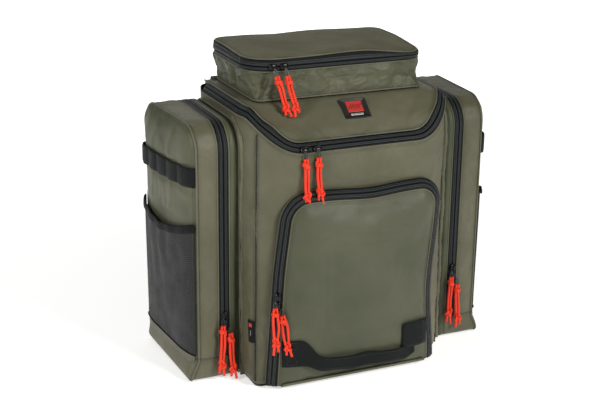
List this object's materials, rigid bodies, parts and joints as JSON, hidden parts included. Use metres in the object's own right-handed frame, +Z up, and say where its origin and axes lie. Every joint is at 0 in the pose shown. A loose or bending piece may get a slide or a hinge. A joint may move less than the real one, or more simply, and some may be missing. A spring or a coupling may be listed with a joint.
{
  "type": "fishing tackle backpack",
  "caption": "Large soft tackle rucksack with zipped sloping lid, top pocket on the lid, zipped front pocket, tall zipped side pockets, webbing handles, padded straps and cord zip pulls.",
  "frame": {"origin": "centre of the overall box at ground level, the cord pulls left out", "axes": "+Z up, the front with its pocket and handle faces -Y, the back pad and shoulder straps face +Y, +X is to the right of someone looking at the front"},
  "size_m": [0.627, 0.3885, 0.577],
  "materials": {
    "shell_fabric": "satin",
    "base_plastic": "matte",
    "board": "matte",
    "spacer_mesh": "matte",
    "zip_tape": "satin",
    "webbing": "satin",
    "pocket_mesh": "matte",
    "label_rubber": "matte",
    "slider_metal": "satin",
    "buckle_plastic": "satin",
    "pull_cord": "satin"
  },
  "bodies": {
    "pack": {"main_compartment_shell": "shell_fabric", "base_tray": "base_plastic", "stiffener_board": "board", "back_pad": "spacer_mesh", "main_zip_lower_tape": "zip_tape", "front_pocket_box": "shell_fabric", "front_zip_inner_tape": "zip_tape", "left_pocket_tray": "shell_fabric", "right_pocket_tray": "shell_fabric", "left_zip_inner_tape": "zip_tape", "right_zip_inner_tape": "zip_tape", "left_shoulder_strap": "spacer_mesh", "right_shoulder_strap": "spacer_mesh", "left_strap_webbing": "webbing", "right_strap_webbing": "webbing", "left_ladder_lock": "buckle_plastic", "right_ladder_lock": "buckle_plastic", "haul_handle": "webbing"},
    "main_lid": {"main_lid_panel": "shell_fabric", "main_zip_upper_tape": "zip_tape", "lid_label": "label_rubber", "top_pocket_box": "shell_fabric", "top_zip_lower_tape": "zip_tape"},
    "top_pocket_lid": {"top_pocket_lid_panel": "shell_fabric", "top_zip_upper_tape": "zip_tape"},
    "front_flap": {"front_flap_panel": "shell_fabric", "front_zip_outer_tape": "zip_tape", "front_handle": "webbing"},
    "left_cover": {"left_cover_shell": "shell_fabric", "left_zip_outer_tape": "zip_tape", "left_side_webbing": "webbing", "left_mesh_pocket": "pocket_mesh"},
    "right_cover": {"right_cover_shell": "shell_fabric", "right_zip_outer_tape": "zip_tape", "right_side_webbing": "webbing", "right_mesh_pocket": "pocket_mesh"},
    "main_slider_a": {"main_slider_a": "slider_metal"},
    "main_slider_b": {"main_slider_b": "slider_metal"},
    "top_slider_a": {"top_slider_a": "slider_metal"},
    "top_slider_b": {"top_slider_b": "slider_metal"},
    "front_slider_a": {"front_slider_a": "slider_metal"},
    "front_slider_b": {"front_slider_b": "slider_metal"},
    "left_slider_a": {"left_slider_a": "slider_metal"},
    "left_slider_b": {"left_slider_b": "slider_metal"},
    "right_slider_a": {"right_slider_a": "slider_metal"},
    "right_slider_b": {"right_slider_b": "slider_metal"},
    "main_pull_a": {"main_pull_a": "pull_cord"},
    "main_pull_b": {"main_pull_b": "pull_cord"},
    "top_pull_a": {"top_pull_a": "pull_cord"},
    "top_pull_b": {"top_pull_b": "pull_cord"},
    "front_pull_a": {"front_pull_a": "pull_cord"},
    "front_pull_b": {"front_pull_b": "pull_cord"},
    "left_pull_a": {"left_pull_a": "pull_cord"},
    "left_pull_b": {"left_pull_b": "pull_cord"},
    "right_pull_a": {"right_pull_a": "pull_cord"},
    "right_pull_b": {"right_pull_b": "pull_cord"}
  },
  "joints": [
    {"name": "main_lid_hinge", "type": "hinge", "parent": "pack", "child": "main_lid", "pos_m": [0, 0.1367, 0.502], "axis": [-1, 0, 0], "range_deg": [0, 95]},
    {"name": "top_pocket_lid_hinge", "type": "hinge", "parent": "main_lid", "child": "top_pocket_lid", "pos_m": [0, 0.1327, 0.561], "axis": [-1, 0, 0], "range_deg": [0, 100]},
    {"name": "front_flap_hinge", "type": "hinge", "parent": "pack", "child": "front_flap", "pos_m": [0, -0.1667, 0.008], "axis": [1, 0, 0], "range_deg": [0, 60]},
    {"name": "left_cover_hinge", "type": "hinge", "parent": "pack", "child": "left_cover", "pos_m": [-0.291, -0.0833, 0.0458], "axis": [0.068, -0.9977, 0], "range_deg": [0, 85]},
    {"name": "right_cover_hinge", "type": "hinge", "parent": "pack", "child": "right_cover", "pos_m": [0.291, -0.0833, 0.0458], "axis": [0.068, 0.9977, 0], "range_deg": [0, 85]},
    {"name": "main_slider_a_slide", "type": "slide", "parent": "pack", "child": "main_slider_a", "axis": [-1, 0, 0], "range_m": [0, 0.01]},
    {"name": "main_slider_b_slide", "type": "slide", "parent": "pack", "child": "main_slider_b", "axis": [1, 0, 0], "range_m": [0, 0.184]},
    {"name": "top_slider_a_slide", "type": "slide", "parent": "main_lid", "child": "top_slider_a", "axis": [-1, 0, 0], "range_m": [0, 0.004]},
    {"name": "top_slider_b_slide", "type": "slide", "parent": "main_lid", "child": "top_slider_b", "axis": [1, 0, 0], "range_m": [0, 0.222]},
    {"name": "front_slider_a_slide", "type": "slide", "parent": "front_flap", "child": "front_slider_a", "axis": [0.0645, 0, 0.9979], "range_m": [0, 0.12]},
    {"name": "front_slider_b_slide", "type": "slide", "parent": "front_flap", "child": "front_slider_b", "axis": [-0.0645, 0, -0.9979], "range_m": [0, 0.12]},
    {"name": "left_slider_a_slide", "type": "slide", "parent": "pack", "child": "left_slider_a", "axis": [0, 0, 1], "range_m": [0, 0.285]},
    {"name": "left_slider_b_slide", "type": "slide", "parent": "pack", "child": "left_slider_b", "axis": [0, 0, -1], "range_m": [0, 0.05]},
    {"name": "right_slider_a_slide", "type": "slide", "parent": "pack", "child": "right_slider_a", "axis": [0, 0, 1], "range_m": [0, 0.265]},
    {"name": "right_slider_b_slide", "type": "slide", "parent": "pack", "child": "right_slider_b", "axis": [0, 0, -1], "range_m": [0, 0.07]},
    {"name": "main_pull_a_swing", "type": "hinge", "parent": "main_slider_a", "child": "main_pull_a", "pos_m": [-0.108, -0.1505, 0.4336], "axis": [-1, 0, 0], "range_deg": [0, 100]},
    {"name": "main_pull_b_swing", "type": "hinge", "parent": "main_slider_b", "child": "main_pull_b", "pos_m": [-0.084, -0.1505, 0.4336], "axis": [-1, 0, 0], "range_deg": [0, 100]},
    {"name": "top_pull_a_swing", "type": "hinge", "parent": "top_slider_a", "child": "top_pull_a", "pos_m": [-0.126, -0.0733, 0.559], "axis": [-1, 0, 0], "range_deg": [0, 100]},
    {"name": "top_pull_b_swing", "type": "hinge", "parent": "top_slider_b", "child": "top_pull_b", "pos_m": [-0.107, -0.0733, 0.559], "axis": [-1, 0, 0], "range_deg": [0, 100]},
    {"name": "front_pull_a_swing", "type": "hinge", "parent": "front_slider_a", "child": "front_pull_a", "pos_m": [-0.1666, -0.1727, 0.176], "axis": [-1, 0, 0], "range_deg": [0, 100]},
    {"name": "front_pull_b_swing", "type": "hinge", "parent": "front_slider_b", "child": "front_pull_b", "pos_m": [-0.1526, -0.1727, 0.16], "axis": [-1, 0, 0], "range_deg": [0, 100]},
    {"name": "left_pull_a_swing", "type": "hinge", "parent": "left_slider_a", "child": "left_pull_a", "pos_m": [-0.23745, -0.0948, 0.122], "axis": [-1, 0, 0], "range_deg": [0, 100]},
    {"name": "left_pull_b_swing", "type": "hinge", "parent": "left_slider_b", "child": "left_pull_b", "pos_m": [-0.22505, -0.0948, 0.106], "axis": [-1, 0, 0], "range_deg": [0, 100]},
    {"name": "right_pull_a_swing", "type": "hinge", "parent": "right_slider_a", "child": "right_pull_a", "pos_m": [0.22505, -0.0948, 0.144], "axis": [-1, 0, 0], "range_deg": [0, 100]},
    {"name": "right_pull_b_swing", "type": "hinge", "parent": "right_slider_b", "child": "right_pull_b", "pos_m": [0.23745, -0.0948, 0.128], "axis": [-1, 0, 0], "range_deg": [0, 100]}
  ]
}
